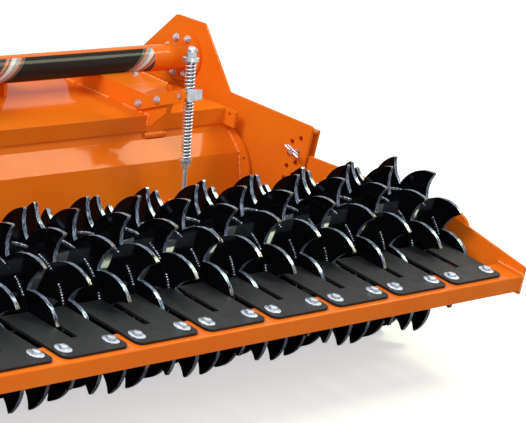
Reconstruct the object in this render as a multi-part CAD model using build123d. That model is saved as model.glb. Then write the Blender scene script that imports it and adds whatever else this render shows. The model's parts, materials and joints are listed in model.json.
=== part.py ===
"""Tractor-mounted rotavator with a spiked trailing roller, one STEP file per named piece.

Frame: +X is the machine's right, +Y the way it travels, +Z up. The origin is the centre of the
footprint on the ground. Inside this file the rotor's axis lies at y = 0 and the ground at z = 0;
the last step moves every piece so that the whole machine's box is centred on the origin.
"""
from build123d import *
import math
import os

# ---------------------------------------------------------------- widths across the machine
WORKING_WIDTH = 2500.0          # between the inner faces of the two side plates
SIDE_PLATE = 10.0               # side plate thickness
FACE_GAP = 5.0                  # side plate to roller arm
SEAT_GAP = 0.3                  # a curved face beside its seat
RUN_GAP = 0.05                  # radial, a shaft in its bearing

# ---------------------------------------------------------------- heights and lengths (y, z)
TUBE_Z = 556.0                  # cross tube's axis, straight above the rotor
TUBE_R = 44.45                  # 88.9 mm pipe
TUBE_WALL = 6.0
ROTOR_Z = 226.0
ROTOR_R = 220.0                 # blade tips
ROLLER_Y = -1046.0
ROLLER_TIP_R = 280.0
ROLLER_NOTCH_R = 195.0
DRUM_R = 177.8                  # 355.6 mm pipe
DRUM_WALL = 8.0
DRUM_END = 12.0                 # the plates that close the drum
DISC_COUNT = 17
DISC_INSET = 27.0               # the outer discs, in from the drum's ends
DISC_THICK = 15.0
TEETH = 11

# ---------------------------------------------------------------- hood and trailing board
HOOD_TOP_Z = 465.0
HOOD_SHEET = 5.0
HOOD_REAR_Y = -262.0
HOOD_LIP_Z = 411.0
HOOD_FLAT_Y = 150.0             # where the flat top turns down to the front
HOOD_END_GAP = 42.0             # end plate to side plate
HOOD_END_PLATE = 12.0
BOARD_SHEET = 5.0
BOARD_END_GAP = 8.0
HINGE_Y = -260.0
HINGE_Z = 396.0
HINGE_PIN_R = 6.0
HINGE_PIN_END = 4.0             # past the outer knuckles
KNUCKLE_R = 11.0
KNUCKLE_LONG = 78.0             # the hood's knuckle
KNUCKLE_SHORT = 12.0            # the board's knuckle at each side of it
KNUCKLE_GAP = 1.0
HINGES_X = (-852.0, 0.0, 852.0)

# ---------------------------------------------------------------- roller frame
ARM_PIVOT_Y = -185.0
ARM_PIVOT_Z = 338.0
ARM_END_Y = -1190.0
ARM_END_Z = 379.0
ARM_HEIGHT = 100.0
ARM_THICK = 12.0
FRAME_PLATE = 10.0
BAR_REAR_Y = -1480.0
BAR_DEPTH = 100.0
BAR_BOTTOM_Z = 276.0
BAR_HEIGHT = 55.0
BAR_WALL = 5.0
BAR_TILT = 4.0                  # degrees, the bar's front edge upwards
SCRAPER_THICK = 8.0
SCRAPER_GAP = 36.0              # between two scraper plates
SCRAPER_REAR = 18.0             # in from the bar's rear edge
SCRAPER_CORNER = 22.0
SCRAPER_CLEAR = 10.0            # to the drum
DISC_GAP = 7.0                  # beside a disc in its slot
ROTOR_END_GAP = 35.0            # rotor tube to side plate
ROLLER_END_GAP = 52.0           # drum to end plate

SIDE_IN = WORKING_WIDTH / 2
SIDE_OUT = SIDE_IN + SIDE_PLATE
ARM_IN = SIDE_OUT + FACE_GAP
ARM_OUT = ARM_IN + ARM_THICK
FRAME_IN = ARM_IN - FRAME_PLATE
HOOD_HALF = SIDE_IN - HOOD_END_GAP
ROTOR_HALF = SIDE_IN - ROTOR_END_GAP
ROLLER_HALF = FRAME_IN - ROLLER_END_GAP
DISC_PITCH = 2 * (ROLLER_HALF - DISC_INSET) / (DISC_COUNT - 1)


def outline(*corners):
    """A face from its corners, given as pairs."""
    return make_face(Polyline(*corners, close=True))


def rounded(*corners):
    """A face from its corners, each given with the radius that rounds it."""
    face = outline(*[(y, z) for y, z, radius in corners])
    for y, z, radius in corners:
        vertex = face.vertices().sort_by_distance((y, z, 0))[0]
        face = fillet(vertex, radius) if radius else face
    return face


def across(face, x_from, x_to):
    """A slab with its outline in the fore-and-aft plane, between two places across the machine."""
    return extrude(Plane.YZ.offset(x_from) * face, amount=x_to - x_from)


def rod_x(y, z, radius, x_from, x_to):
    """A round bar along X."""
    return across(Pos(y, z) * Circle(radius), x_from, x_to)


def rod_y(x, z, radius, y_from, y_to):
    """A round bar along Y."""
    disc = Plane.XZ.offset(-y_from) * (Pos(x, z) * Circle(radius))
    return extrude(disc, amount=-(y_to - y_from))


def ring_x(y, z, outer, inner, x_from, x_to):
    """A tube along X."""
    return across(Pos(y, z) * (Circle(outer) - Circle(inner)), x_from, x_to)


def block(x, y, z):
    """A box from its low and high edges along each axis."""
    size = (x[1] - x[0], y[1] - y[0], z[1] - z[0])
    middle = ((x[0] + x[1]) / 2, (y[0] + y[1]) / 2, (z[0] + z[1]) / 2)
    return Pos(*middle) * Box(*size)


def mirrored(shape):
    """The same piece on the machine's other side."""
    return mirror(shape, about=Plane.YZ)


def beside(line, distance):
    """The corners of a bent line moved sideways by a distance, with mitred corners."""
    moved = []
    for index, (y, z) in enumerate(line):
        normals = []
        for start, end in zip(line[max(index - 1, 0):], line[max(index, 1):index + 2]):
            run = math.dist(start, end)
            normals.append(((start[1] - end[1]) / run, (end[0] - start[0]) / run))
        sum_y = sum(normal[0] for normal in normals) / len(normals)
        sum_z = sum(normal[1] for normal in normals) / len(normals)
        scale = distance / (sum_y ** 2 + sum_z ** 2)
        moved.append((y + sum_y * scale, z + sum_z * scale))
    return moved


def folded(centre, sheet):
    """A folded sheet's section, from the corners of its middle line."""
    return outline(*beside(centre, sheet / 2), *reversed(beside(centre, -sheet / 2)))


# ---------------------------------------------------------------- side plates
ARM_LIFT = (ARM_END_Z - ARM_PIVOT_Z) / (ARM_PIVOT_Y - ARM_END_Y)      # rise per mm to the rear
ARM_TILT = math.atan(ARM_LIFT)
PIN_R = 8.0
HOLE_R = 8.25
PIN_COLUMN_Y = -546.0
HOLE_STEP = 42.0
COLUMN_STEP = 31.0
ARM_TOP_AT_PIN = (ARM_PIVOT_Z + (ARM_PIVOT_Y - PIN_COLUMN_Y) * ARM_LIFT
                  + ARM_HEIGHT / 2 / math.cos(ARM_TILT))
PIN_Z = ARM_TOP_AT_PIN + PIN_R + SEAT_GAP
PIVOT_R = 20.0
BEARING_HOLE_R = 52.0
SKID_THICK = 12.0


def side_plate():
    """The right side plate, with its tall peak over the tube and its long tail to the roller's pins."""
    face = rounded((63, 681, 12), (-61, 688, 16), (-223, 503, 6), (-583, 505, 10), (-583, 288, 25),
                   (-330, 150, 60), (-290, SKID_THICK, 20), (170, SKID_THICK, 60), (270, 90, 60),
                   (305, 200, 60), (305, 362, 60))
    plate = across(face, SIDE_IN, SIDE_OUT)
    for y, z in pin_holes():
        plate -= rod_x(y, z, HOLE_R, SIDE_IN, SIDE_OUT)
    return plate - rod_x(0, ROTOR_Z, BEARING_HOLE_R, SIDE_IN, SIDE_OUT)


def pin_holes():
    """Two staggered columns of holes for the pin that stops the roller arm."""
    first = PIN_Z + HOLE_STEP
    near = [(PIN_COLUMN_Y, first - HOLE_STEP * step) for step in range(4)]
    far = [(PIN_COLUMN_Y + COLUMN_STEP, first - HOLE_STEP * (step + 0.5)) for step in range(4)]
    return near + far


SKID_IN = 15.0                  # past the side plate's inner face
SKID_LIP = 20.0                 # past its outer face


def skid():
    """The wearing shoe under a side plate, turned up at the front."""
    face = outline((-300, 0), (175, 0), (262, 60), (254, 70), (170, SKID_THICK), (-300, SKID_THICK))
    return across(face, SIDE_IN - SKID_IN, SIDE_OUT + SKID_LIP)


# ---------------------------------------------------------------- cross tube, gearbox and side drive
GEARBOX_HALF = 125.0
FLANGE_R = 83.0
FLANGE_THICK = 12.0


def cross_tube():
    """The right half tube with a round flange at each end."""
    left = GEARBOX_HALF
    right = SIDE_IN
    tube = ring_x(0, TUBE_Z, TUBE_R, TUBE_R - TUBE_WALL, left, right)
    for start in (left, right - FLANGE_THICK):
        tube += ring_x(0, TUBE_Z, FLANGE_R, TUBE_R - TUBE_WALL, start, start + FLANGE_THICK)
    return tube


INPUT_Z = 600.0
INPUT_NOSE_Y = 215.0
SHAFT_R = 17.45
SHAFT_SHOULDER = 3.0
GEARBOX_FRONT_Y = 150.0
GEARBOX_TOP_Z = 690.0
COVER_THICK = 16.0
FOOT_THICK = 14.0


def gearbox():
    """The cast gear housing over the hood, with ribs, a top cover and a nose for the input shaft."""
    front = GEARBOX_FRONT_Y
    top = GEARBOX_TOP_Z
    inset = GEARBOX_HALF - FLANGE_THICK
    body = block((-inset, inset), (-front, front), (HOOD_TOP_Z, top))
    body = fillet(body.edges().filter_by(Axis.X), 28)
    body += rod_x(0, TUBE_Z, FLANGE_R, -GEARBOX_HALF, GEARBOX_HALF)
    body += block((-inset - 10, inset + 10), (-front - 18, front + 18), (HOOD_TOP_Z, HOOD_TOP_Z + FOOT_THICK))
    body += block((-95, 95), (-front + 30, front - 30), (top, top + COVER_THICK))
    for x in (-78, 78):
        body += block((x - 6, x + 6), (-front - 14, front + 14), (HOOD_TOP_Z, TUBE_Z + 60))
    body += rod_y(0, INPUT_Z, 70, front, front + 35)
    body += rod_y(0, INPUT_Z, 52, front + 35, INPUT_NOSE_Y)
    body += rod_y(0, INPUT_Z - 30, 85, -front - 22, -front)
    return body - rod_y(0, INPUT_Z, SHAFT_R + SHAFT_SHOULDER + RUN_GAP, front + 10, INPUT_NOSE_Y)


def input_shaft():
    """The shaft that the tractor's drive slides on."""
    shoulder = INPUT_NOSE_Y + 4
    start = GEARBOX_FRONT_Y + 10 + SEAT_GAP
    shaft = rod_y(0, INPUT_Z, SHAFT_R + SHAFT_SHOULDER, start, shoulder)
    return shaft + rod_y(0, INPUT_Z, SHAFT_R, shoulder, shoulder + SHAFT_LONG)


SHAFT_LONG = 96.0
CASE_RIM = 12.0                 # the case's flange against the side plate
CASE_DEPTH = 78.0
CASE_LOW_R = 118.0
CASE_TOP_R = 103.0
STUB_REACH = 30.0               # how far the rotor's stubs run into their housings
STUB_END_GAP = 1.0


def side_drive():
    """The gear case outside the left side plate, from the tube's shaft down to the rotor's."""
    body = case_outline(0)
    case = across(body, -SIDE_OUT - CASE_DEPTH, -SIDE_OUT)
    case = fillet(case.faces().sort_by(Axis.X)[0].edges(), 10)
    case += across(case_outline(CASE_RIM), -SIDE_OUT - CASE_RIM, -SIDE_OUT)
    for z, radius in ((ROTOR_Z, 70), (TUBE_Z, 58)):
        case += rod_x(0, z, radius, -SIDE_OUT - CASE_DEPTH - 14, -SIDE_OUT - CASE_DEPTH)
    case += rod_x(0, ROTOR_Z, BEARING_HOLE_R - SEAT_GAP, -SIDE_OUT, -SIDE_IN)
    return case - rod_x(0, ROTOR_Z, ROTOR_STUB_R + RUN_GAP, -SIDE_OUT - STUB_REACH, -SIDE_IN)


def case_outline(extra):
    """The side case's outline: two round ends with straight flanks, grown by a margin."""
    low = CASE_LOW_R + extra
    top = CASE_TOP_R + extra
    face = outline((-low, ROTOR_Z), (low, ROTOR_Z), (top, TUBE_Z), (-top, TUBE_Z))
    return face + Pos(0, ROTOR_Z) * Circle(low) + Pos(0, TUBE_Z) * Circle(top)


def rotor_bearing():
    """The right bearing housing of the rotor, outside the side plate."""
    house = rod_x(0, ROTOR_Z, 88, SIDE_OUT, SIDE_OUT + 16)
    house += rod_x(0, ROTOR_Z, 62, SIDE_OUT + 16, SIDE_OUT + STUB_REACH + 18)
    house += rod_x(0, ROTOR_Z, BEARING_HOLE_R - SEAT_GAP, SIDE_IN, SIDE_OUT)
    house -= rod_x(0, ROTOR_Z, ROTOR_STUB_R + RUN_GAP, SIDE_IN, SIDE_OUT + STUB_REACH)
    return house


# ---------------------------------------------------------------- hood
EAR_LONG = 46.0                 # the end plate's ear, out behind the lip
EAR_HOLE = (-283.0, 450.0)
EAR_HOLE_R = 5.0
SPACER_R = 16.0
SPACER_BORE = 8.5
SPACERS = ((-205.0, 432.0), (-60.0, 440.0), (90.0, 440.0), (222.0, 342.0))


def hood_line():
    """The middle line of the hood's sheet, from the rear lip over the flat top to the front edge."""
    half = HOOD_SHEET / 2
    return [(HOOD_REAR_Y + half, HOOD_LIP_Z), (HOOD_REAR_Y + half, HOOD_TOP_Z - half),
            (HOOD_FLAT_Y, HOOD_TOP_Z - half), (262, 330), (276, 250)]


def hood():
    """The folded hood sheet with its end plates and the knuckles of the board's hinges."""
    inner = HOOD_HALF - HOOD_END_PLATE
    sheet = across(folded(hood_line(), HOOD_SHEET), -inner, inner)
    end = hood_end()
    sheet = sheet + end + mirrored(end)
    bore = HINGE_PIN_R + RUN_GAP
    for x in HINGES_X:
        reach = (x - KNUCKLE_LONG / 2, x + KNUCKLE_LONG / 2)
        sheet += block(reach, (HOOD_REAR_Y, HOOD_REAR_Y + HOOD_SHEET), (HINGE_Z, HOOD_LIP_Z))
        sheet += rod_x(HINGE_Y, HINGE_Z, KNUCKLE_R, *reach)
        sheet -= rod_x(HINGE_Y, HINGE_Z, bore, *reach)
    return sheet


def hood_end():
    """The right end plate of the hood, its ear behind the lip, and its spacers to the side plate."""
    lip, rear, front, nose, tip = beside(hood_line(), HOOD_SHEET / 2)
    ear_y = HOOD_REAR_Y - EAR_LONG
    face = outline(tip, nose, front, (ear_y, HOOD_TOP_Z), (ear_y - 3, HOOD_LIP_Z), (-262, HOOD_LIP_Z),
                   (-250, 419), (-215, 416), (170, 270))
    plate = across(face, HOOD_HALF - HOOD_END_PLATE, HOOD_HALF)
    plate -= rod_x(*EAR_HOLE, EAR_HOLE_R, HOOD_HALF - HOOD_END_PLATE, HOOD_HALF)
    for y, z in SPACERS:
        plate += ring_x(y, z, SPACER_R, SPACER_BORE, HOOD_HALF, SIDE_IN)
    return plate


def hinge_pins():
    """The pins of the three hinges that carry the board."""
    reach = KNUCKLE_LONG / 2 + KNUCKLE_GAP + KNUCKLE_SHORT + HINGE_PIN_END
    pins = [rod_x(HINGE_Y, HINGE_Z, HINGE_PIN_R, x - reach, x + reach) for x in HINGES_X]
    return pins[0] + pins[1] + pins[2]


# ---------------------------------------------------------------- trailing board
BOARD_TOP = (-250.0, 413.5)      # tucked in behind the lip, so that the gap between them is closed
BOARD_RIM = (-265.5, 385.0)     # the narrow strip below the hood's lip ends here
BOARD_FOLD = (-327.0, 330.0)
BOARD_FOOT = (-405.0, 110.0)
BOARD_HALF = SIDE_IN - BOARD_END_GAP
FLANGE_PLATE = 10.0
FLANGE_PROUD = 33.0             # the end flange, out behind the board's face
FLANGE_HOLE = (-353.0, 317.0)
FLANGE_HOLE_R = 5.0
LUG_PIN = (-455.0, 182.0)
ROD_X = 840.0


def trailing_board():
    """The folded rear board with its hinge knuckles and end flanges."""
    line = [BOARD_TOP, BOARD_RIM, BOARD_FOLD, BOARD_FOOT]
    board = across(folded(line, BOARD_SHEET), -BOARD_HALF, BOARD_HALF)
    notch = KNUCKLE_LONG / 2 + KNUCKLE_GAP
    bore = notch + KNUCKLE_SHORT + HINGE_PIN_END + 1
    for x in HINGES_X:
        board -= rod_x(HINGE_Y, HINGE_Z, KNUCKLE_R + 2, x - notch, x + notch)
        board -= block((x - notch, x + notch), (HINGE_Y - 8, HINGE_Y + 20), (HINGE_Z, BOARD_TOP[1] + BOARD_SHEET))
        for start in (x - notch - KNUCKLE_SHORT, x + notch):
            board += rod_x(HINGE_Y, HINGE_Z, KNUCKLE_R, start, start + KNUCKLE_SHORT)
        board -= rod_x(HINGE_Y, HINGE_Z, HINGE_PIN_R + RUN_GAP, x - bore, x + bore)
    flange = board_flange()
    return board + flange + mirrored(flange)


def board_flange():
    """The right end flange: an arc round the fold, then straight to the foot."""
    foot_z = BOARD_FOOT[1]
    top = (-257.6, 404.0)
    shoulder = (-387.5, 280.0)
    foot = (board_face(foot_z) - FLANGE_PROUD, foot_z)
    inner = [(BOARD_FOOT[0] + 14, foot_z), (BOARD_FOLD[0] + 22, BOARD_FOLD[1] - 8), (-243, 384), (-243, 401)]
    edges = [ThreePointArc(top, (-337.0, 359.0), shoulder).edge(), Line(shoulder, foot).edge(),
             Polyline(foot, *inner, top)]
    face = make_face([edges[0], edges[1], *edges[2].edges()])
    flange = across(face, BOARD_HALF - FLANGE_PLATE, BOARD_HALF)
    return flange - rod_x(*FLANGE_HOLE, FLANGE_HOLE_R, BOARD_HALF - FLANGE_PLATE, BOARD_HALF)


def board_face(z):
    """The outer face of the board below its fold, at a height."""
    slope = (BOARD_FOLD[0] - BOARD_FOOT[0]) / (BOARD_FOLD[1] - BOARD_FOOT[1])
    return BOARD_FOOT[0] + (z - BOARD_FOOT[1]) * slope - BOARD_SHEET / 2 * math.hypot(1, slope)


# ---------------------------------------------------------------- spring rods
TRUNNION = (-374.0, 570.0)
ROD_R = 8.0
ROD_SLOPE = math.atan2(TRUNNION[0] - LUG_PIN[0], TRUNNION[1] - LUG_PIN[1])


def on_rod(along, radius, length, bore=0.0):
    """A round piece on the rod's line, at a distance above the trunnion's axis."""
    piece = Cylinder(radius, length, align=(Align.CENTER, Align.CENTER, Align.MIN))
    if bore:
        piece -= Cylinder(bore, length, align=(Align.CENTER, Align.CENTER, Align.MIN))
    return rod_frame() * Pos(0, 0, along) * piece


def rod_frame():
    """The trunnion's place, with local Z up the rod."""
    return Pos(ROD_X, TRUNNION[0], TRUNNION[1]) * Rot(-math.degrees(ROD_SLOPE), 0, 0)


ROD_LENGTH = math.dist(TRUNNION, LUG_PIN)
ROD_GAP = 0.1
SPRING_SEAT = 21.0              # the springs' seats above and below the trunnion's axis
SPRING_R = 16.5
UPPER_WASHER = 108.0
LOWER_WASHER = -203.0
UPPER_WASHER_THICK = 12.0
LOWER_WASHER_THICK = 8.0
NUT_FLATS = 28.0                # across the flats
LOCK_NUT = 20.0
CAP_NUT = 16.0
CAP_DOME_R = 13.0
EYE_R = 21.0
EYE_HALF = 9.0
EYE_HOLE_R = 12.0               # wider than its pin, since the board swings on another circle
EYE_PIN_R = 8.0
TRUNNION_SHOULDER = 10.0        # from the bracket's wall to the square block
TRUNNION_PAST = 46.0            # the block's end, past the rod's axis
TRUNNION_HALF = 16.0
TRUNNION_PIN_R = 8.0


def hexagon_on_rod(along, length):
    """A hexagon nut on the rod."""
    face = RegularPolygon(NUT_FLATS / math.sqrt(3), 6)
    return rod_frame() * Pos(0, 0, along) * extrude(face, amount=length)


def spring_rod():
    """The right rod with its domed cap nut, washers, lock nut and lower eye."""
    cap = UPPER_WASHER + UPPER_WASHER_THICK
    rod = on_rod(EYE_R - 3 - ROD_LENGTH, ROD_R, ROD_LENGTH + cap)
    rod += on_rod(UPPER_WASHER, 26, UPPER_WASHER_THICK)
    rod += hexagon_on_rod(cap, CAP_NUT)
    dome = on_rod(cap + CAP_NUT, CAP_DOME_R, 20)
    rod += fillet(dome.edges().sort_by(Axis.Z)[-1], CAP_DOME_R - 2)
    rod += on_rod(LOWER_WASHER - LOWER_WASHER_THICK, 22.5, LOWER_WASHER_THICK)
    rod += hexagon_on_rod(LOWER_WASHER - LOWER_WASHER_THICK - LOCK_NUT, LOCK_NUT)
    rod += rod_x(*LUG_PIN, EYE_R, ROD_X - EYE_HALF, ROD_X + EYE_HALF)
    return rod - rod_x(*LUG_PIN, EYE_HOLE_R, ROD_X - EYE_HALF, ROD_X + EYE_HALF)


def trunnion():
    """The square cross block that the rod slides through, with its pin into the bracket's arm."""
    x_from = BRACKET_X[0] + TRUNNION_SHOULDER
    x_to = ROD_X + TRUNNION_PAST
    strip_face = BRACKET_X[0] - STRIP_THICK
    size = (x_to - x_from, 2 * TRUNNION_HALF, 2 * TRUNNION_HALF)
    bar = Box(*size, align=(Align.MIN, Align.CENTER, Align.CENTER))
    body = rod_frame() * Pos(x_from - ROD_X, 0, 0) * bar
    body += rod_x(*TRUNNION, TRUNNION_PIN_R + 6, BRACKET_X[0] + 1, x_from)
    body += rod_x(*TRUNNION, TRUNNION_PIN_R, strip_face - 5, BRACKET_X[0] + 1)
    body += on_rod(-SPRING_SEAT, SPRING_R, 2 * SPRING_SEAT)
    return body - on_rod(-SPRING_SEAT, ROD_R + ROD_GAP, 2 * SPRING_SEAT)


def upper_spring():
    """The short spring above the trunnion."""
    start = SPRING_SEAT + SEAT_GAP
    return on_rod(start, SPRING_R, UPPER_WASHER - SEAT_GAP - start, ROD_R + 2)


def lower_spring():
    """The long spring that presses the board down."""
    start = LOWER_WASHER + SEAT_GAP
    return on_rod(start, SPRING_R, -SPRING_SEAT - SEAT_GAP - start, ROD_R + 2)


# ---------------------------------------------------------------- spiked roller
CLOCK_STEP = 360.0 / TEETH * 0.4      # each disc is turned by two fifths of a tooth
FIRST_CLOCK = 8.0


def tooth_point(radius, degrees):
    """A point of the disc's outline, by its angle up from the rear."""
    angle = math.radians(degrees)
    return (ROLLER_Y - radius * math.cos(angle), ROLLER_TIP_R + radius * math.sin(angle))


def spiked_disc(clock):
    """A flame-cut disc's outline: each tooth is a long round back and a hollow front."""
    pitch = 360.0 / TEETH
    edges = []
    for index in range(TEETH):
        tip = clock + pitch * index
        notch_above = tooth_point(ROLLER_NOTCH_R, tip + 26.5)
        back = tooth_point(247, tip + 15.2)
        point = tooth_point(ROLLER_TIP_R, tip)
        blunt = tooth_point(ROLLER_TIP_R - 5, tip - 0.5)
        hollow = tooth_point(236, tip - 0.4)
        notch_below = tooth_point(ROLLER_NOTCH_R, tip + 26.5 - pitch)
        edges += [ThreePointArc(notch_above, back, point).edge(), Line(point, blunt).edge(),
                  ThreePointArc(blunt, hollow, notch_below).edge()]
    return make_face(edges)


ROLLER_STUB_R = 25.0


def disc_places():
    """Where the discs stand across the machine, from the right."""
    first = DISC_PITCH * (DISC_COUNT - 1) / 2
    return [first - DISC_PITCH * index for index in range(DISC_COUNT)]


def spiked_roller():
    """The drum with its stub shafts and all its discs."""
    inner = ROLLER_HALF - DRUM_END
    drum = rod_x(ROLLER_Y, ROLLER_TIP_R, DRUM_R, -ROLLER_HALF, ROLLER_HALF)
    drum -= rod_x(ROLLER_Y, ROLLER_TIP_R, DRUM_R - DRUM_WALL, -inner, inner)
    discs = []
    for index, x in enumerate(disc_places()):
        face = spiked_disc(FIRST_CLOCK + CLOCK_STEP * index)
        face -= Pos(ROLLER_Y, ROLLER_TIP_R) * Circle(DRUM_R - DRUM_WALL / 2)
        discs.append(across(face, x - DISC_THICK / 2, x + DISC_THICK / 2))
    roller = drum.fuse(*discs)
    for side in (-1, 1):
        ends = sorted((side * inner, side * ARM_IN))
        roller += rod_x(ROLLER_Y, ROLLER_TIP_R, ROLLER_STUB_R, *ends)
    return roller


# ---------------------------------------------------------------- roller frame
def roller_arm():
    """The right flat arm, with a round end at the pivot and at the rear."""
    run = math.dist((ARM_PIVOT_Y, ARM_PIVOT_Z), (ARM_END_Y, ARM_END_Z))
    middle = ((ARM_PIVOT_Y + ARM_END_Y) / 2, (ARM_PIVOT_Z + ARM_END_Z) / 2)
    face = Pos(*middle) * Rot(0, 0, -math.degrees(ARM_TILT)) * SlotCenterToCenter(run, ARM_HEIGHT)
    arm = across(face, ARM_IN, ARM_OUT)
    return arm - rod_x(ARM_PIVOT_Y, ARM_PIVOT_Z, PIVOT_R + RUN_GAP, ARM_IN, ARM_OUT)


BEARING_FLANGE = 16.0
BEARING_NOSE = 22.0


def frame_plate():
    """The right end plate of the roller frame, which carries the roller's bearing."""
    bar_top = BAR_BOTTOM_Z + BAR_HEIGHT
    face = rounded((BAR_REAR_Y, BAR_BOTTOM_Z - 8, 0), (BAR_REAR_Y, bar_top + 25, 4), (-1150, 423, 20),
                   (-905, 413, 20), (-925, 300, 40), (-985, 205, 50), (-1105, 205, 50), (-1300, 262, 80),
                   (BAR_REAR_Y + 45, BAR_BOTTOM_Z - 8, 0))
    plate = across(face, FRAME_IN, ARM_IN)
    return plate - rod_x(ROLLER_Y, ROLLER_TIP_R, ROLLER_STUB_R + 6, FRAME_IN, ARM_IN)


def roller_bearing():
    """The right flanged bearing inside the end plate."""
    flange = FRAME_IN - BEARING_FLANGE
    house = rod_x(ROLLER_Y, ROLLER_TIP_R, 64, flange, FRAME_IN)
    house += rod_x(ROLLER_Y, ROLLER_TIP_R, 44, flange - BEARING_NOSE, flange)
    return house - rod_x(ROLLER_Y, ROLLER_TIP_R, ROLLER_STUB_R + RUN_GAP, flange - BEARING_NOSE, FRAME_IN)


def on_bar(shape):
    """A piece drawn from the bar's lower rear edge, put in place with the bar's tilt."""
    return Pos(0, BAR_REAR_Y, BAR_BOTTOM_Z) * Rot(BAR_TILT, 0, 0) * shape


def rear_bar():
    """The hollow bar behind the roller, which carries the scrapers."""
    reach = (-FRAME_IN, FRAME_IN)
    bar = block(reach, (0, BAR_DEPTH), (0, BAR_HEIGHT))
    bar = fillet(bar.edges().filter_by(Axis.X), BAR_WALL + 1)
    bar -= block(reach, (BAR_WALL, BAR_DEPTH - BAR_WALL), (BAR_WALL, BAR_HEIGHT - BAR_WALL))
    return on_bar(bar)


def scraper_reach():
    """How far a scraper runs from the bar's rear edge to stay clear of the drum."""
    tilt = math.radians(BAR_TILT)
    run = ROLLER_Y - BAR_REAR_Y
    rise = ROLLER_TIP_R - BAR_BOTTOM_Z
    ahead = run * math.cos(tilt) + rise * math.sin(tilt)
    above = BAR_HEIGHT - (rise * math.cos(tilt) - run * math.sin(tilt))
    return ahead - math.sqrt((DRUM_R + SCRAPER_CLEAR) ** 2 - above ** 2)


def scrapers():
    """Flat plates on the bar, each slotted for one disc; the next disc runs in the gap."""
    height = (BAR_HEIGHT, BAR_HEIGHT + SCRAPER_THICK)
    width = 2 * DISC_PITCH - SCRAPER_GAP
    slot = DISC_THICK / 2 + DISC_GAP
    front = scraper_reach()
    plates = None
    for x in disc_places()[1::2]:
        plate = block((x - width / 2, x + width / 2), (SCRAPER_REAR, front), height)
        corners = plate.edges().filter_by(Axis.Z).sort_by(Axis.Y)[:2]
        plate = fillet(corners, SCRAPER_CORNER)
        plate -= block((x - slot, x + slot), (BAR_DEPTH + 4, front), height)
        plates = plate if plates is None else plates + plate
    return on_bar(plates)


# ---------------------------------------------------------------- arm brackets, pivots and pins
CHANNEL_GAP = 8.0               # arm to channel
CHANNEL_SHEET = 8.0
CHANNEL_Y = (-586.0, -486.0)
CHANNEL_Z = (300.0, 491.0)


def arm_bracket():
    """The right channel that guides the arm beside the side plate's tail."""
    outer = ARM_OUT + CHANNEL_GAP
    bracket = block((outer, outer + CHANNEL_SHEET), CHANNEL_Y, CHANNEL_Z)
    bracket += block((SIDE_OUT, outer), CHANNEL_Y, (CHANNEL_Z[1] - CHANNEL_SHEET, CHANNEL_Z[1]))
    for y, z in pin_holes():
        bracket -= rod_x(y, z, HOLE_R, outer, outer + CHANNEL_SHEET)
    return bracket


def arm_pivot():
    """The right pivot pin of the arm, with a retaining collar."""
    pin = rod_x(ARM_PIVOT_Y, ARM_PIVOT_Z, PIVOT_R, SIDE_OUT, ARM_OUT + 6)
    pin += rod_x(ARM_PIVOT_Y, ARM_PIVOT_Z, PIVOT_R + 12, ARM_OUT + SEAT_GAP, ARM_OUT + 12)
    return pin


STOP_PIN_REACH = 42.0           # past the side plate's inner face


def stop_pin():
    """The right pin above the arm, with its head outside."""
    outer = ARM_OUT + CHANNEL_GAP + CHANNEL_SHEET
    pin = rod_x(PIN_COLUMN_Y, PIN_Z, PIN_R, SIDE_IN - STOP_PIN_REACH, outer + 1)
    return pin + rod_x(PIN_COLUMN_Y, PIN_Z, 14, outer + SEAT_GAP, outer + 8)


# ---------------------------------------------------------------- rod bracket
BRACKET_X = (802.0, 992.0)
BRACKET_Z = 527.0
BRACKET_SHEET = 6.0
BRACKET_END = (-328.0, 494.0)   # the wall's rear edge
BRACKET_RIDGE_Y = (-222.0, -165.0)   # where the top sheet turns down, at the left and the right
BRACKET_SIDE_Y = (-185.0, 60.0)   # the right end's low wall
RETURN_LONG = 26.0
STRIP_START = (-219.0, 491.5)   # the arm's first bolt
STRIP_HALF = 20.0
STRIP_THICK = 10.0
STRIP_CHAMFER = 9.0


def rod_bracket():
    """The box on the right of the hood, whose left wall runs out behind the lip."""
    x_left, x_right = BRACKET_X
    top = BRACKET_Z
    y_end, z_end = BRACKET_END
    wall = outline((105, HOOD_TOP_Z), (66, top - 7), (-41, top), (y_end, top), (y_end, z_end),
                   (HOOD_REAR_Y - 15, 434), (HOOD_REAR_Y, 431), (HOOD_REAR_Y, HOOD_TOP_Z))
    box = across(wall, x_left, x_left + BRACKET_SHEET)
    box += block((x_left, x_left + RETURN_LONG), (y_end, y_end + BRACKET_SHEET), (z_end, top))
    box += bracket_cover()
    box += block((x_right - BRACKET_SHEET, x_right), BRACKET_SIDE_Y, (HOOD_TOP_Z, top))
    return box - rod_x(0, TUBE_Z, TUBE_R + SEAT_GAP, x_left, x_right)


def bracket_cover():
    """The bracket's flat top, whose rear edge runs aslant, and the sheet that slopes down behind it."""
    x_left, x_right = BRACKET_X
    y_left, y_right = BRACKET_RIDGE_Y
    bottom = BRACKET_Z - BRACKET_SHEET
    flat = outline((x_left, 0), (x_right, 0), (x_right, y_right), (x_left, y_left))
    flat = Pos(0, 0, bottom) * extrude(flat, amount=BRACKET_SHEET)
    turn = math.degrees(math.atan2(y_right - y_left, x_right - x_left))
    sheet = outline((0, BRACKET_Z), (-38, HOOD_TOP_Z), (-32, HOOD_TOP_Z), (8, BRACKET_Z))
    slope = Pos(x_left, y_left, 0) * Rot(0, 0, turn) * across(sheet, -20, x_right - x_left + 20)
    return flat + (slope & block(BRACKET_X, (HOOD_REAR_Y, 0), (HOOD_TOP_Z, BRACKET_Z)))


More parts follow.
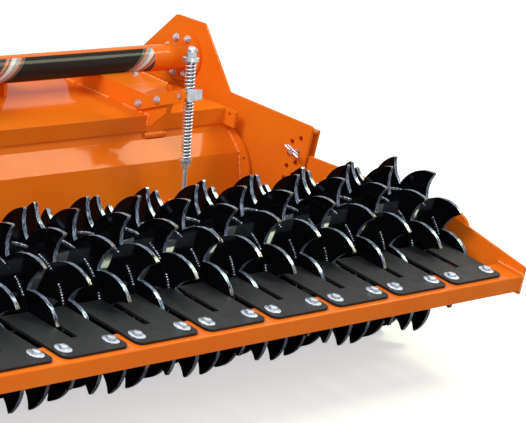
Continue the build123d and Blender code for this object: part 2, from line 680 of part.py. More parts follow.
def rod_arm():
    """The flat bar bolted to the bracket's wall, which carries the trunnion at its end."""
    face_x = BRACKET_X[0]
    run = math.dist(STRIP_START, TRUNNION)
    tilt = math.atan2(TRUNNION[1] - STRIP_START[1], STRIP_START[0] - TRUNNION[0])
    low, high = -STRIP_HALF, STRIP_HALF
    cut = STRIP_CHAMFER
    strip = outline((14, low), (14, high), (cut - run - 22, high), (-run - 22, high - cut),
                    (-run - 22, low + cut), (cut - run - 22, low))
    face = Pos(*STRIP_START) * Rot(0, 0, -math.degrees(tilt)) * strip
    bar = across(face, face_x - STRIP_THICK, face_x)
    return bar - rod_x(*TRUNNION, TRUNNION_PIN_R + RUN_GAP, face_x - STRIP_THICK, face_x)


EAR_THICK = 12.0
EAR_GAP = 5.0                   # beside the rod's eye


def board_lug():
    """Two ears on the right of the board with the pin for the rod's eye."""
    pin_y, pin_z = LUG_PIN
    face = outline((board_face(215), 215), (board_face(130), 130), (pin_y - 10, pin_z - 20),
                   (pin_y - 20, pin_z + 8), (pin_y + 5, pin_z + 22))
    reach = EYE_HALF + EAR_GAP
    ears = across(face, ROD_X - reach - EAR_THICK, ROD_X - reach)
    ears += across(face, ROD_X + reach, ROD_X + reach + EAR_THICK)
    return ears + rod_x(pin_y, pin_z, EYE_PIN_R, ROD_X - reach - EAR_THICK, ROD_X + reach + EAR_THICK)


# ---------------------------------------------------------------- rotor
ROTOR_TUBE_R = 42.0
ROTOR_STUB_R = 30.0
ROTOR_FLANGE_R = 105.0
ROTOR_FLANGE = 10.0
ROTOR_FLANGES = 11
ROTOR_END_FLANGE = 115.0        # the outer flanges, in from the tube's ends
BLADE_THICK = 8.0
BLADE_WIDTH = 62.0
BLADE_REACH = 78.0
BLADE_TURN = 22.0               # each flange is turned this much against the last


def blade():
    """An L-shaped blade at the top of a flange, its foot bent to the right."""
    half = ROTOR_FLANGE / 2
    shank = half + BLADE_THICK / 2
    line = [(shank, 55), (shank, 172), (half + 22, ROTOR_R - 12), (half + BLADE_REACH, ROTOR_R - 8)]
    face = Plane.XZ.offset(-BLADE_WIDTH / 2) * folded(line, BLADE_THICK)
    return extrude(face, amount=BLADE_WIDTH)


def rotor():
    """The rotor tube with its flanges and blades."""
    stub = SIDE_OUT + STUB_REACH - STUB_END_GAP
    tube = rod_x(0, 0, ROTOR_TUBE_R, -ROTOR_HALF, ROTOR_HALF)
    pieces = [rod_x(0, 0, ROTOR_STUB_R, -stub, stub)]
    first = ROTOR_END_FLANGE - ROTOR_HALF
    pitch = -2 * first / (ROTOR_FLANGES - 1)
    for index in range(ROTOR_FLANGES):
        x = first + pitch * index
        pieces.append(rod_x(0, 0, ROTOR_FLANGE_R, x - ROTOR_FLANGE / 2, x + ROTOR_FLANGE / 2))
        for turn in range(6):
            piece = blade() if turn % 2 else mirrored(blade())
            pieces.append(Pos(x, 0, 0) * Rot(turn * 60 + index * BLADE_TURN, 0, 0) * piece)
    return Pos(0, 0, ROTOR_Z) * tube.fuse(*pieces)


# ---------------------------------------------------------------- three-point hitch
HITCH_PIN_R = 14.3
HITCH_X = 412.0                 # the outer plate's outer face
HITCH_PLATE = 14.0
HITCH_INSIDE = 46.0             # between the two plates
HITCH_Y = 430.0
HITCH_Z = 382.0
HITCH_END_R = 36.0
HITCH_SHOULDER = 14.0
HITCH_PIN_FREE = 76.0
TOP_HOLE_R = 13.0
TOP_Y = 350.0
TOP_Z = 880.0
MAST_HALF = 42.0                # to the plates' outer faces
MAST_PLATE = 14.0
MAST_END_R = 36.0


def hitch_bracket():
    """The right pair of plates from the cross tube to the lower link pin, joined by a web."""
    outer = HITCH_X
    inner = HITCH_X - 2 * HITCH_PLATE - HITCH_INSIDE
    face = outline((0, HOOD_TOP_Z), (HOOD_FLAT_Y + 4, HOOD_TOP_Z), (300, HITCH_Z - 30),
                   (HITCH_Y, HITCH_Z - HITCH_END_R), (HITCH_Y + 14, HITCH_Z + 33), (120, 550), (25, 590))
    face += Pos(HITCH_Y, HITCH_Z) * Circle(HITCH_END_R)
    pair = across(face, outer - HITCH_PLATE, outer) + across(face, inner, inner + HITCH_PLATE)
    pair += across(outline((250, 432), (330, 392), (335, 402), (255, 442)), inner, outer)
    pair -= rod_x(0, TUBE_Z, TUBE_R + SEAT_GAP, inner, outer)
    return pair - rod_x(HITCH_Y, HITCH_Z, HITCH_PIN_R + SEAT_GAP, inner, outer)


def hitch_pin():
    """The right lower link pin, through both plates, with a shoulder outside."""
    inner = HITCH_X - 2 * HITCH_PLATE - HITCH_INSIDE
    shoulder = HITCH_X + HITCH_SHOULDER
    pin = rod_x(HITCH_Y, HITCH_Z, HITCH_PIN_R, inner - 8, shoulder + HITCH_PIN_FREE)
    return pin + rod_x(HITCH_Y, HITCH_Z, 24, HITCH_X + SEAT_GAP, shoulder)


def mast():
    """The two plates that rise from the gearbox to the top link pin, with a window and a tie bar."""
    top = GEARBOX_TOP_Z + COVER_THICK
    rise = TOP_Z - top
    face = outline((-116, top), (108, top), (TOP_Y + 30, TOP_Z - 20), (TOP_Y + 20, TOP_Z + 30),
                   (TOP_Y - 34, TOP_Z + 12))
    face += Pos(TOP_Y, TOP_Z) * Circle(MAST_END_R)
    face -= outline((-25, top + 20), (85, top + 20), (235, top + 0.61 * rise), (215, top + 0.7 * rise))
    plate = across(face, MAST_HALF - MAST_PLATE, MAST_HALF)
    plate -= rod_x(TOP_Y, TOP_Z, TOP_HOLE_R, MAST_HALF - MAST_PLATE, MAST_HALF)
    tie = rod_x(265, top + 0.82 * rise, 12, MAST_PLATE - MAST_HALF, MAST_HALF - MAST_PLATE)
    return tie + plate + mirrored(plate)


# ---------------------------------------------------------------- the assembly
def build():
    """Every piece by its name, the right-hand ones mirrored where the left has the same."""
    pieces = {
        "hood": hood(),
        "gearbox": gearbox(),
        "input_shaft": input_shaft(),
        "side_drive": side_drive(),
        "rotor_bearing": rotor_bearing(),
        "rotor": rotor(),
        "mast": mast(),
        "hinge_pins": hinge_pins(),
        "trailing_board": trailing_board(),
        "spiked_roller": spiked_roller(),
        "rear_bar": rear_bar(),
        "scraper_plates": scrapers(),
    }
    pairs = {
        "side_plate": side_plate(),
        "skid": skid(),
        "cross_tube": cross_tube(),
        "hitch_bracket": hitch_bracket(),
        "hitch_pin": hitch_pin(),
        "rod_bracket": rod_bracket(),
        "rod_arm": rod_arm(),
        "trunnion": trunnion(),
        "spring_rod": spring_rod(),
        "upper_spring": upper_spring(),
        "lower_spring": lower_spring(),
        "board_lug": board_lug(),
        "arm_bracket": arm_bracket(),
        "arm_pivot": arm_pivot(),
        "stop_pin": stop_pin(),
        "roller_arm": roller_arm(),
        "frame_plate": frame_plate(),
        "roller_bearing": roller_bearing(),
    }
    for name, shape in pairs.items():
        pieces[name + "_right"] = shape
        pieces[name + "_left"] = mirrored(shape)
    return pieces


def placed(pieces):
    """The pieces moved so that the machine's box is centred over the origin, on the ground."""
    boxes = [shape.bounding_box() for shape in pieces.values()]
    low = [min(getattr(box.min, axis) for box in boxes) for axis in "XYZ"]
    high = [max(getattr(box.max, axis) for box in boxes) for axis in "XYZ"]
    shift = Pos(-(low[0] + high[0]) / 2, -(low[1] + high[1]) / 2, -low[2])
    return {name: shift * shape for name, shape in pieces.items()}


os.makedirs("parts", exist_ok=True)
for piece_name, piece_shape in placed(build()).items():
    export_step(piece_shape, "parts/" + piece_name + ".step")
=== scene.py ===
"""Rotavator with a spiked trailing roller: its finishes, its small parts, the light and the camera."""

import json
import logging
import math
from dataclasses import dataclass, field
from enum import Enum
from typing import Iterable, Sequence

import bmesh
import bpy
from mathutils import Matrix, Vector


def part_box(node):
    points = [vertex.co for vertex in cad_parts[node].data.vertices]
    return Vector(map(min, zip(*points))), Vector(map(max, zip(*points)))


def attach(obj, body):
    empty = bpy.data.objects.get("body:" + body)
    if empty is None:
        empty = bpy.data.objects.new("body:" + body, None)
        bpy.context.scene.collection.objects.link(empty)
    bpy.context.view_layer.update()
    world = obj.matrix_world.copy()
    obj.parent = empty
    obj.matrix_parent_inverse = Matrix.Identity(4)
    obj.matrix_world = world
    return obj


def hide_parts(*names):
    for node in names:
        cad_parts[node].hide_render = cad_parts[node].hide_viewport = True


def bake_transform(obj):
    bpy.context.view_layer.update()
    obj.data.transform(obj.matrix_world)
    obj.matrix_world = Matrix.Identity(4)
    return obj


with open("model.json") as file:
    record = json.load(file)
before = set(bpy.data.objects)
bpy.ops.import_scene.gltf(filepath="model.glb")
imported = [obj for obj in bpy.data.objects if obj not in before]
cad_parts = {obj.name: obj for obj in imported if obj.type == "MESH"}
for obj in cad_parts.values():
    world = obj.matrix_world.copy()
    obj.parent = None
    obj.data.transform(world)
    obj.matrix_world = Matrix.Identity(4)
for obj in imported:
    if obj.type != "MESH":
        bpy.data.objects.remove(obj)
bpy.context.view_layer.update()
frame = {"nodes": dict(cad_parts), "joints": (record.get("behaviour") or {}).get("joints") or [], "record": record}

LOG = logging.getLogger("rotavator")
MM = 0.001


# ---------------------------------------------------------------- places and small helpers
def joint(name: str) -> dict:
    """The frame's joint of that name."""
    return next(found for found in frame["joints"] if found["name"] == name)


class Datum:
    """The machine's own measuring point: on the ground, straight under the rotor's axis."""

    ROTOR_HEIGHT = 226.0
    TUBE_HEIGHT = 556.0

    @classmethod
    def point(cls, x: float, y: float, z: float) -> Vector:
        """A place given in millimetres from the datum, in the frame's metres.

        Args:
            x: to the machine's right.
            y: forward.
            z: above the ground.

        Returns:
            The same place in the frame.
        """
        rotor = Vector(joint("rotor_turn")["pos_m"])
        return rotor + Vector((x, y, z - cls.ROTOR_HEIGHT)) * MM


def sides() -> Iterable[tuple[str, int]]:
    """The two ends of the machine, with their sign along X."""
    return (("right", 1), ("left", -1))


class Axis(Enum):
    """Directions that a fastener or a ring can face."""

    RIGHT = (1.0, 0.0, 0.0)
    LEFT = (-1.0, 0.0, 0.0)
    FRONT = (0.0, 1.0, 0.0)
    REAR = (0.0, -1.0, 0.0)
    UP = (0.0, 0.0, 1.0)

    def vector(self) -> Vector:
        """The direction as a vector."""
        return Vector(self.value)


def facing(direction: Vector, at: Vector, twist: float = 0.0) -> Matrix:
    """A transform that stands local Z along a direction.

    Args:
        direction: where local Z points.
        at: where the local origin goes.
        twist: turn about local Z, in radians.

    Returns:
        The four by four matrix.
    """
    turn = direction.normalized().to_track_quat("Z", "Y").to_matrix().to_4x4()
    return Matrix.Translation(at) @ turn @ Matrix.Rotation(twist, 4, "Z")


def finished(name: str, mesh: bmesh.types.BMesh, material: bpy.types.Material, body: str | None,
             smooth_below: float = 40.0) -> bpy.types.Object:
    """Turns a bmesh into a piece that rides on a body.

    Args:
        name: the piece's name.
        mesh: the shape, in the frame's metres.
        material: its finish.
        body: the CAD body that it moves with, or None for a piece left unattached.
        smooth_below: edges flatter than this many degrees are shaded smooth.

    Returns:
        The new object.
    """
    bmesh.ops.remove_doubles(mesh, verts=mesh.verts[:], dist=0.00002)
    bmesh.ops.recalc_face_normals(mesh, faces=mesh.faces[:])
    limit = math.radians(smooth_below)
    for face in mesh.faces:
        face.smooth = True
    for edge in mesh.edges:
        edge.smooth = edge.is_manifold and edge.calc_face_angle(math.pi) < limit
    data = bpy.data.meshes.new(name)
    mesh.to_mesh(data)
    mesh.free()
    data.materials.append(material)
    piece = bpy.data.objects.new(name, data)
    bpy.context.scene.collection.objects.link(piece)
    if body:
        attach(piece, body)
    LOG.info("%s: %d faces on %s", name, len(data.polygons), body or "two bodies")
    return piece


# ---------------------------------------------------------------- materials
def linear(hex_colour: str, alpha: float = 1.0) -> tuple[float, float, float, float]:
    """An sRGB hex colour as linear light.

    Args:
        hex_colour: six hex digits.
        alpha: the fourth value.

    Returns:
        Red, green, blue and alpha.
    """
    parts = [int(hex_colour[i:i + 2], 16) / 255 for i in (0, 2, 4)]
    light = [v / 12.92 if v <= 0.04045 else ((v + 0.055) / 1.055) ** 2.4 for v in parts]
    return (light[0], light[1], light[2], alpha)


def add_node(tree: bpy.types.NodeTree, kind: str, links: dict | None = None,
             values: dict | None = None, **settings: object) -> bpy.types.Node:
    """Adds one node with its settings, values and links.

    Args:
        tree: where it goes.
        kind: the node's type.
        links: input name or number to the output socket that feeds it.
        values: input name or number to its plain value.
        settings: the node's own properties.

    Returns:
        The node.
    """
    node = tree.nodes.new(kind)
    for key, value in settings.items():
        setattr(node, key, value)
    for key, value in (values or {}).items():
        node.inputs[key].default_value = value
    for key, socket in (links or {}).items():
        tree.links.new(socket, node.inputs[key])
    return node


def ramp(tree: bpy.types.NodeTree, factor: bpy.types.NodeSocket, stops: Sequence[tuple[float, tuple]],
         ease: str = "LINEAR") -> bpy.types.NodeSocket:
    """Turns a number into a colour or a grey by a few stops.

    Args:
        tree: where the nodes go.
        factor: the number.
        stops: pairs of position and linear colour.
        ease: how the stops are joined.

    Returns:
        The colour socket.
    """
    node = add_node(tree, "ShaderNodeValToRGB", {"Fac": factor})
    node.color_ramp.interpolation = ease
    elements = node.color_ramp.elements
    while len(elements) < len(stops):
        elements.new(0.5)
    for element, (position, colour) in zip(elements, stops):
        element.position = position
        element.color = colour
    return node.outputs["Color"]


def grey(value: float) -> tuple[float, float, float, float]:
    """A grey as a colour."""
    return (value, value, value, 1.0)


def math_node(tree: bpy.types.NodeTree, operation: str, *terms: object) -> bpy.types.NodeSocket:
    """One step of arithmetic on sockets or plain numbers."""
    links = {i: term for i, term in enumerate(terms) if isinstance(term, bpy.types.NodeSocket)}
    values = {i: term for i, term in enumerate(terms) if i not in links}
    return add_node(tree, "ShaderNodeMath", links, values, operation=operation).outputs[0]


def mixed(tree: bpy.types.NodeTree, factor: bpy.types.NodeSocket, first: object,
          second: object) -> bpy.types.NodeSocket:
    """A mix of two colours, each a socket or a plain colour."""
    terms = {6: first, 7: second}
    links = {key: term for key, term in terms.items() if isinstance(term, bpy.types.NodeSocket)}
    values = {key: term for key, term in terms.items() if key not in links}
    return add_node(tree, "ShaderNodeMix", {0: factor, **links}, values, data_type="RGBA").outputs[2]


@dataclass(frozen=True)
class Finish:
    """A surface: one Principled shader, with whatever its kind adds in dress()."""

    name: str
    colour: str
    roughness: float
    metallic: float = 0.0
    coat: float = 0.0
    coat_roughness: float = 0.05
    ior: float = 1.5
    specular: float = 0.5
    specular_tint: tuple[float, float, float] = (1.0, 1.0, 1.0)

    def material(self) -> bpy.types.Material:
        """The material, made once and shared."""
        found = bpy.data.materials.get(self.name)
        if found:
            return found
        made = bpy.data.materials.new(self.name)
        made.use_nodes = True
        tree = made.node_tree
        tree.nodes.clear()
        shader = add_node(tree, "ShaderNodeBsdfPrincipled", values={
            "Base Color": linear(self.colour), "Roughness": self.roughness, "Metallic": self.metallic,
            "Coat Weight": self.coat, "Coat Roughness": self.coat_roughness, "IOR": self.ior,
            "Specular IOR Level": self.specular, "Specular Tint": (*self.specular_tint, 1.0)})
        add_node(tree, "ShaderNodeOutputMaterial", {"Surface": shader.outputs["BSDF"]})
        self.dress(tree, shader)
        return made

    def dress(self, tree: bpy.types.NodeTree, shader: bpy.types.Node) -> None:
        """Adds the pattern of this kind of surface. A plain finish has none."""

    def coordinates(self, tree: bpy.types.NodeTree) -> bpy.types.NodeSocket:
        """Object coordinates, in metres."""
        return add_node(tree, "ShaderNodeTexCoord").outputs["Object"]

    def noise(self, tree: bpy.types.NodeTree, size_mm: float, detail: float = 2.0,
              stretch: tuple[float, float, float] = (1.0, 1.0, 1.0)) -> bpy.types.NodeSocket:
        """Noise whose spots are about a real size.

        Args:
            tree: where the nodes go.
            size_mm: the spots' size.
            detail: how many finer layers it has.
            stretch: scale along each axis, under 1 for a longer spot.

        Returns:
            The noise's value, about 0.5 on average.
        """
        spread = add_node(tree, "ShaderNodeMapping", {"Vector": self.coordinates(tree)}, {"Scale": stretch})
        texture = add_node(tree, "ShaderNodeTexNoise", {"Vector": spread.outputs["Vector"]},
                           {"Scale": 1000.0 / size_mm, "Detail": detail, "Roughness": 0.55})
        return texture.outputs["Fac"]

    def rounded(self, tree: bpy.types.NodeTree, shader: bpy.types.Node, radius_mm: float,
                height: bpy.types.NodeSocket | None = None, depth_mm: float = 0.0) -> None:
        """Softens the edges of plate, and adds a fine relief.

        Args:
            tree: where the nodes go.
            shader: the shader that gets the normal.
            radius_mm: the edge's radius.
            height: the relief, from 0 to 1.
            depth_mm: its depth.
        """
        normal = add_node(tree, "ShaderNodeBevel", values={"Radius": radius_mm * MM}, samples=4).outputs["Normal"]
        if height is not None:
            bump = add_node(tree, "ShaderNodeBump", {"Height": height, "Normal": normal},
                            {"Strength": 1.0, "Distance": depth_mm * MM})
            normal = bump.outputs["Normal"]
        tree.links.new(normal, shader.inputs["Normal"])


@dataclass(frozen=True)
class PowderCoat(Finish):
    """Baked powder coat on steel: even colour, a gloss skin and a faint orange peel of 6 mm waves."""

    shade: str = ""
    peel_mm: float = 6.0
    peel_depth_mm: float = 0.03
    edge_mm: float = 2.5

    def dress(self, tree: bpy.types.NodeTree, shader: bpy.types.Node) -> None:
        """Adds slow colour drift, roughness drift and the peel."""
        drift = self.noise(tree, 260.0, 3.0)
        tone = ramp(tree, drift, [(0.30, linear(self.shade or self.colour)), (0.70, linear(self.colour))])
        tree.links.new(tone, shader.inputs["Base Color"])
        rough = add_node(tree, "ShaderNodeMapRange", {"Value": self.noise(tree, 90.0, 2.0)},
                         {"To Min": self.roughness * 0.85, "To Max": self.roughness * 1.2})
        tree.links.new(rough.outputs["Result"], shader.inputs["Roughness"])
        self.rounded(tree, shader, self.edge_mm, self.noise(tree, self.peel_mm, 1.0), self.peel_depth_mm)


@dataclass(frozen=True)
class BandedTube(PowderCoat):
    """The coated cross tube with a plain black film on its rear half, and slanted stripes at the film's ends."""

    side: int = 1
    band_from: float = 285.0
    band_to: float = 1055.0
    slant: float = 1.1
    radius_mm: float = 44.45
    film_edges: tuple[float, float] = (-0.89, 1.22)     # radians up from the tube's rearmost line
    reach: float = 200.0            # how far the stripes' colours are spread inwards
    stripes: tuple[tuple[float, str], ...] = (
        (0.0, "4A4548"), (12.0, "F07A22"), (18.0, "9A989C"), (28.0, "3A3536"), (32.0, "F07A22"), (38.0, "D9D9DE"),
        (58.0, "A3A2A8"), (76.0, "F07A22"), (83.0, "645E61"), (100.0, "2A2423"))

    def dress(self, tree: bpy.types.NodeTree, shader: bpy.types.Node) -> None:
        """Lays the film over the coat."""
        super().dress(tree, shader)
        coat = shader.inputs["Base Color"].links[0].from_socket
        axis = Datum.point(0, 0, Datum.TUBE_HEIGHT)
        shift = add_node(tree, "ShaderNodeVectorMath", {0: self.coordinates(tree)}, {1: axis}, operation="SUBTRACT")
        split = add_node(tree, "ShaderNodeSeparateXYZ", {"Vector": shift.outputs["Vector"]})
        outward = math_node(tree, "MULTIPLY", split.outputs["X"], 1000.0 * self.side)
        rearward = math_node(tree, "MULTIPLY", split.outputs["Y"], -1.0)
        around = math_node(tree, "ARCTAN2", split.outputs["Z"], rearward)
        lean = math_node(tree, "MULTIPLY", around, self.slant * self.radius_mm * self.side)
        slanted = math_node(tree, "SUBTRACT", outward, lean)
        middle = (self.band_from + self.band_to) / 2
        half = (self.band_to - self.band_from) / 2
        along = math_node(tree, "ABSOLUTE", math_node(tree, "SUBTRACT", outward, middle))
        inside = math_node(tree, "LESS_THAN", along, half)
        above = math_node(tree, "GREATER_THAN", around, self.film_edges[0])
        below = math_node(tree, "LESS_THAN", around, self.film_edges[1])
        mask = math_node(tree, "MULTIPLY", inside, math_node(tree, "MULTIPLY", above, below))
        tilted = math_node(tree, "ABSOLUTE", math_node(tree, "SUBTRACT", slanted, middle))
        depth = math_node(tree, "SUBTRACT", half, tilted)
        share = math_node(tree, "DIVIDE", depth, self.reach)
        colours = ramp(tree, share, [(p / self.reach, linear(c)) for p, c in self.stripes], "CONSTANT")
        tree.links.new(mixed(tree, mask, coat, colours), shader.inputs["Base Color"])


@dataclass(frozen=True)
class RollerEnamel(Finish):
    """Black gloss enamel over flame-cut plate: mirror-like faces, and rims worn to bright steel in streaks, painted in
    a blue-white highlight colour.
    """

    worn_steel_and_highlight: str = "9CAAC2"
    tips: str = "B9AE93"
    rim_from_mm: float = 183.0
    tip_from_mm: float = 272.0

    def dress(self, tree: bpy.types.NodeTree, shader: bpy.types.Node) -> None:
        """Wears the outer rims of the teeth in streaks a few millimetres wide, and paints the streaks in a blue-white
        highlight colour.
        """
        normal = add_node(tree, "ShaderNodeNewGeometry").outputs["True Normal"]
        sideways = math_node(tree, "ABSOLUTE", add_node(tree, "ShaderNodeSeparateXYZ", {"Vector": normal}).outputs["X"])
        rim = math_node(tree, "LESS_THAN", sideways, 0.5)
        axle = Vector(joint("roller_turn")["pos_m"])
        shift = add_node(tree, "ShaderNodeVectorMath", {0: self.coordinates(tree)}, {1: axle}, operation="SUBTRACT")
        flat = add_node(tree, "ShaderNodeVectorMath", {0: shift.outputs["Vector"]}, {1: (0.0, 1.0, 1.0)},
                        operation="MULTIPLY")
        reach = add_node(tree, "ShaderNodeVectorMath", {0: flat.outputs["Vector"]}, operation="LENGTH").outputs["Value"]
        outer = math_node(tree, "GREATER_THAN", reach, self.rim_from_mm * MM)
        streak = ramp(tree, self.noise(tree, 6.0, 3.0, (2.6, 0.35, 0.35)), [(0.42, grey(0.0)), (0.60, grey(1.0))])
        amount = math_node(tree, "MULTIPLY", math_node(tree, "MULTIPLY", rim, outer), streak)
        tip = add_node(tree, "ShaderNodeMapRange", {"Value": reach},
                       {"From Min": self.tip_from_mm * MM, "From Max": (self.tip_from_mm + 8.0) * MM})
        # painted highlight: the rims' streaks are bare steel whose blue-white colour stands in for their reflections;
        # the pale tips are wear
        bright = mixed(tree, tip.outputs["Result"], linear(self.worn_steel_and_highlight), linear(self.tips))
        tree.links.new(mixed(tree, amount, linear(self.colour), bright), shader.inputs["Base Color"])
        tree.links.new(math_node(tree, "MULTIPLY", amount, 0.75), shader.inputs["Metallic"])
        rough = add_node(tree, "ShaderNodeMapRange", {"Value": amount}, {"To Min": self.roughness, "To Max": 0.3})
        tree.links.new(rough.outputs["Result"], shader.inputs["Roughness"])
        self.rounded(tree, shader, 1.5, self.noise(tree, 30.0, 2.0), 0.12)


@dataclass(frozen=True)
class ZincPlate(Finish):
    """Bright zinc plate on turned and formed steel: soft clouds 12 mm across, and painted shade in the crevices between
    coils.
    """

    painted_shade_reach_mm: float = 11.0

    def dress(self, tree: bpy.types.NodeTree, shader: bpy.types.Node) -> None:
        """Adds the clouds and the painted shade in the crevices."""
        cloud = self.noise(tree, 12.0, 2.0)
        tone = ramp(tree, cloud, [(0.3, linear("C9D2DE")), (0.7, linear(self.colour))])
        # painted shade: ambient occlusion darkens the colour towards 1E2733 between the coils and in other crevices
        open_air = add_node(tree, "ShaderNodeAmbientOcclusion", values={"Distance": self.painted_shade_reach_mm * MM}, samples=8)
        unshaded = ramp(tree, open_air.outputs["AO"], [(0.35, grey(0.0)), (0.75, grey(1.0))])
        tree.links.new(mixed(tree, unshaded, linear("1E2733"), tone), shader.inputs["Base Color"])
        rough = add_node(tree, "ShaderNodeMapRange", {"Value": cloud},
                         {"To Min": self.roughness * 0.8, "To Max": self.roughness * 1.25})
        tree.links.new(rough.outputs["Result"], shader.inputs["Roughness"])
        self.rounded(tree, shader, 0.5)


@dataclass(frozen=True)
class TexturedCoat(Finish):
    """Semi-matt textured coat: dark grey with a grain of 1.5 mm, drawn at 3 mm so that it shows."""

    grain_mm: float = 3.0

    def dress(self, tree: bpy.types.NodeTree, shader: bpy.types.Node) -> None:
        """Adds the grain and rubbed patches."""
        rub = ramp(tree, self.noise(tree, 40.0, 4.0),
                   [(0.35, grey(self.roughness * 1.15)), (0.7, grey(self.roughness * 0.8))])
        tree.links.new(rub, shader.inputs["Roughness"])
        speck = ramp(tree, self.noise(tree, 9.0, 4.0), [(0.35, linear("0C0D10")), (0.75, linear(self.colour))])
        tree.links.new(speck, shader.inputs["Base Color"])
        self.rounded(tree, shader, 1.0, self.noise(tree, self.grain_mm, 2.0), 0.12)


@dataclass(frozen=True)
class SandCasting(Finish):
    """Painted cast iron: a coarse skin of 4 mm sand grain under satin paint."""

    def dress(self, tree: bpy.types.NodeTree, shader: bpy.types.Node) -> None:
        """Adds the cast skin."""
        self.rounded(tree, shader, 3.0, self.noise(tree, 4.0, 3.0), 0.35)


@dataclass(frozen=True)
class BrightBar(Finish):
    """Drawn and ground steel bar with a light film of oil."""

    def dress(self, tree: bpy.types.NodeTree, shader: bpy.types.Node) -> None:
        """Adds faint drawing marks along the bar."""
        marks = self.noise(tree, 2.0, 2.0, (0.1, 0.1, 1.0))
        rough = add_node(tree, "ShaderNodeMapRange", {"Value": marks}, {"To Min": 0.2, "To Max": 0.4})
        tree.links.new(rough.outputs["Result"], shader.inputs["Roughness"])
        self.rounded(tree, shader, 0.6)


@dataclass(frozen=True)
class WeldMetal(Finish):
    """A weld bead with its ripples 4 mm apart, under the coat of what it joins, with a painted highlight on the
    ripples' crests.
    """

    ripple_mm: float = 4.0
    low: str = ""

    def dress(self, tree: bpy.types.NodeTree, shader: bpy.types.Node) -> None:
        """Adds the ripples' painted highlight and shade, and their relief."""
        ripple = self.noise(tree, self.ripple_mm, 2.0)
        tone = ramp(tree, ripple, [(0.38, linear(self.low or self.colour)), (0.6, linear(self.colour))])
        tree.links.new(tone, shader.inputs["Base Color"])
        self.rounded(tree, shader, 0.8, ripple, 0.4)


class Palette:
    """Every finish on the machine."""

    COAT = {"colour": "F0791C", "roughness": 0.09, "ior": 1.12, "shade": "EE7018"}
    ORANGE = PowderCoat("orange_powder_coat", **COAT)
    TUBE_RIGHT = BandedTube("orange_tube_band_right", **COAT)
    TUBE_LEFT = BandedTube("orange_tube_band_left", **COAT, side=-1)
    ENAMEL = RollerEnamel("black_roller_enamel", "060608", 0.08, ior=1.25, specular_tint=(0.75, 0.87, 1.0))
    SCRAPER = TexturedCoat("dark_grey_textured_coat", "16181C", 0.5, specular=0.25)
    ZINC = ZincPlate("bright_zinc_plate", "E8EDF5", 0.24, metallic=0.75)
    CASTING = SandCasting("painted_cast_iron", "1E1F22", 0.45)
    BAR = BrightBar("bright_steel_bar", "C2C4C8", 0.3, metallic=1.0)
    # painted highlight: the ripples' crests are lighter than the coat, standing in for the light they catch
    WELD = WeldMetal("coated_weld_bead_painted_highlight", "FFA04C", 0.25, ior=1.45, low="F07818")
    # bare weld metal under wiped enamel, with its bright steel-grey crests a painted glint
    DARK_WELD = WeldMetal("enamelled_weld_bead_painted_glint", "C9D2E2", 0.25, metallic=0.8, low="0A0A0C")

    NODES = {
        "orange_paint": ORANGE, "black_paint": ENAMEL, "dark_grey_paint": SCRAPER,
        "zinc_plate": ZINC, "bare_steel": BAR, "cast_iron_housing": CASTING,
    }


def dress_nodes() -> None:
    """Gives every CAD node the finish of its material slot."""
    slots = {row["node"]: row["material_slot"] for row in frame["record"]["subparts"]}
    special = {"cross_tube_right": Palette.TUBE_RIGHT, "cross_tube_left": Palette.TUBE_LEFT}
    for name, node in frame["nodes"].items():
        finish = special.get(name, Palette.NODES[slots[name]])
        node.data.materials.clear()
        node.data.materials.append(finish.material())
    LOG.info("%d nodes dressed", len(frame["nodes"]))


# ---------------------------------------------------------------- fasteners and welds
@dataclass
class HexBolt:
    """A hexagon head bolt or nut with a washer, sizes in millimetres."""

    washer_radius: float = 12.0
    washer_thick: float = 2.5
    head_radius: float = 9.5
    head_height: float = 7.0
    stud_radius: float = 0.0
    stud_height: float = 0.0
    bevel: float = 0.8

    def add(self, mesh: bmesh.types.BMesh, seat: Vector, out: Vector, twist: float = 0.0) -> None:
        """Adds the bolt to a mesh.

        Args:
            mesh: where it goes.
            seat: the middle of the face that it sits on.
            out: the direction away from that face.
            twist: turn about its axis, in radians.
        """
        away = out.normalized()
        stages = [(self.washer_radius, 20, 0.0, self.washer_thick),
                  (self.head_radius, 6, self.washer_thick, self.head_height)]
        if self.stud_radius:
            stages.append((self.stud_radius, 12, self.washer_thick + self.head_height, self.stud_height))
        for radius, segments, low, height in stages:
            place = facing(away, seat + away * (low + height / 2) * MM, twist)
            made = bmesh.ops.create_cone(mesh, cap_ends=True, segments=segments, radius1=radius * MM,
                                         radius2=radius * MM, depth=height * MM, matrix=place)
            edges = {edge for vert in made["verts"] for edge in vert.link_edges}
            top = [edge for edge in edges
                   if all((vert.co - seat).dot(away) > (low + height) * MM - 1e-6 for vert in edge.verts)]
            bmesh.ops.bevel(mesh, geom=top, offset=self.bevel * MM, offset_type="OFFSET", segments=2,
                            profile=0.5, affect="EDGES", material=-1)


class Fasteners:
    """Collects the bolts that ride on one body into one piece."""

    def __init__(self, body: str) -> None:
        """Starts an empty piece."""
        self.body = body
        self.mesh = bmesh.new()
        self.count = 0

    def one(self, bolt: HexBolt, place: tuple[float, float, float], out: Axis | Vector,
            twist: float | None = None) -> None:
        """Adds a bolt.

        Args:
            bolt: its sizes.
            place: its seat, in millimetres from the datum.
            out: the way its head looks.
            twist: turn about its axis, or None for one that differs from bolt to bolt.
        """
        way = out.vector() if isinstance(out, Axis) else out
        self.count += 1
        bolt.add(self.mesh, Datum.point(*place), way, self.count * 0.71 if twist is None else twist)

    def ring(self, bolt: HexBolt, x: float, centre: tuple[float, float], radius: float, count: int, first: float,
             out: Axis) -> None:
        """Adds a circle of bolts on a face that looks right or left.

        Args:
            bolt: its sizes.
            x: the face.
            centre: the circle's middle, forward and up.
            radius: the circle's radius.
            count: how many.
            first: the first one's angle in degrees, from forward towards up.
            out: the way their heads look.
        """
        for step in range(count):
            angle = math.radians(first + 360.0 * step / count)
            y, z = centre[0] + radius * math.cos(angle), centre[1] + radius * math.sin(angle)
            self.one(bolt, (x, y, z), out)

    def done(self, name: str, finish: "Finish") -> bpy.types.Object:
        """Makes the piece."""
        return finished(name, self.mesh, finish.material(), self.body, 30.0)


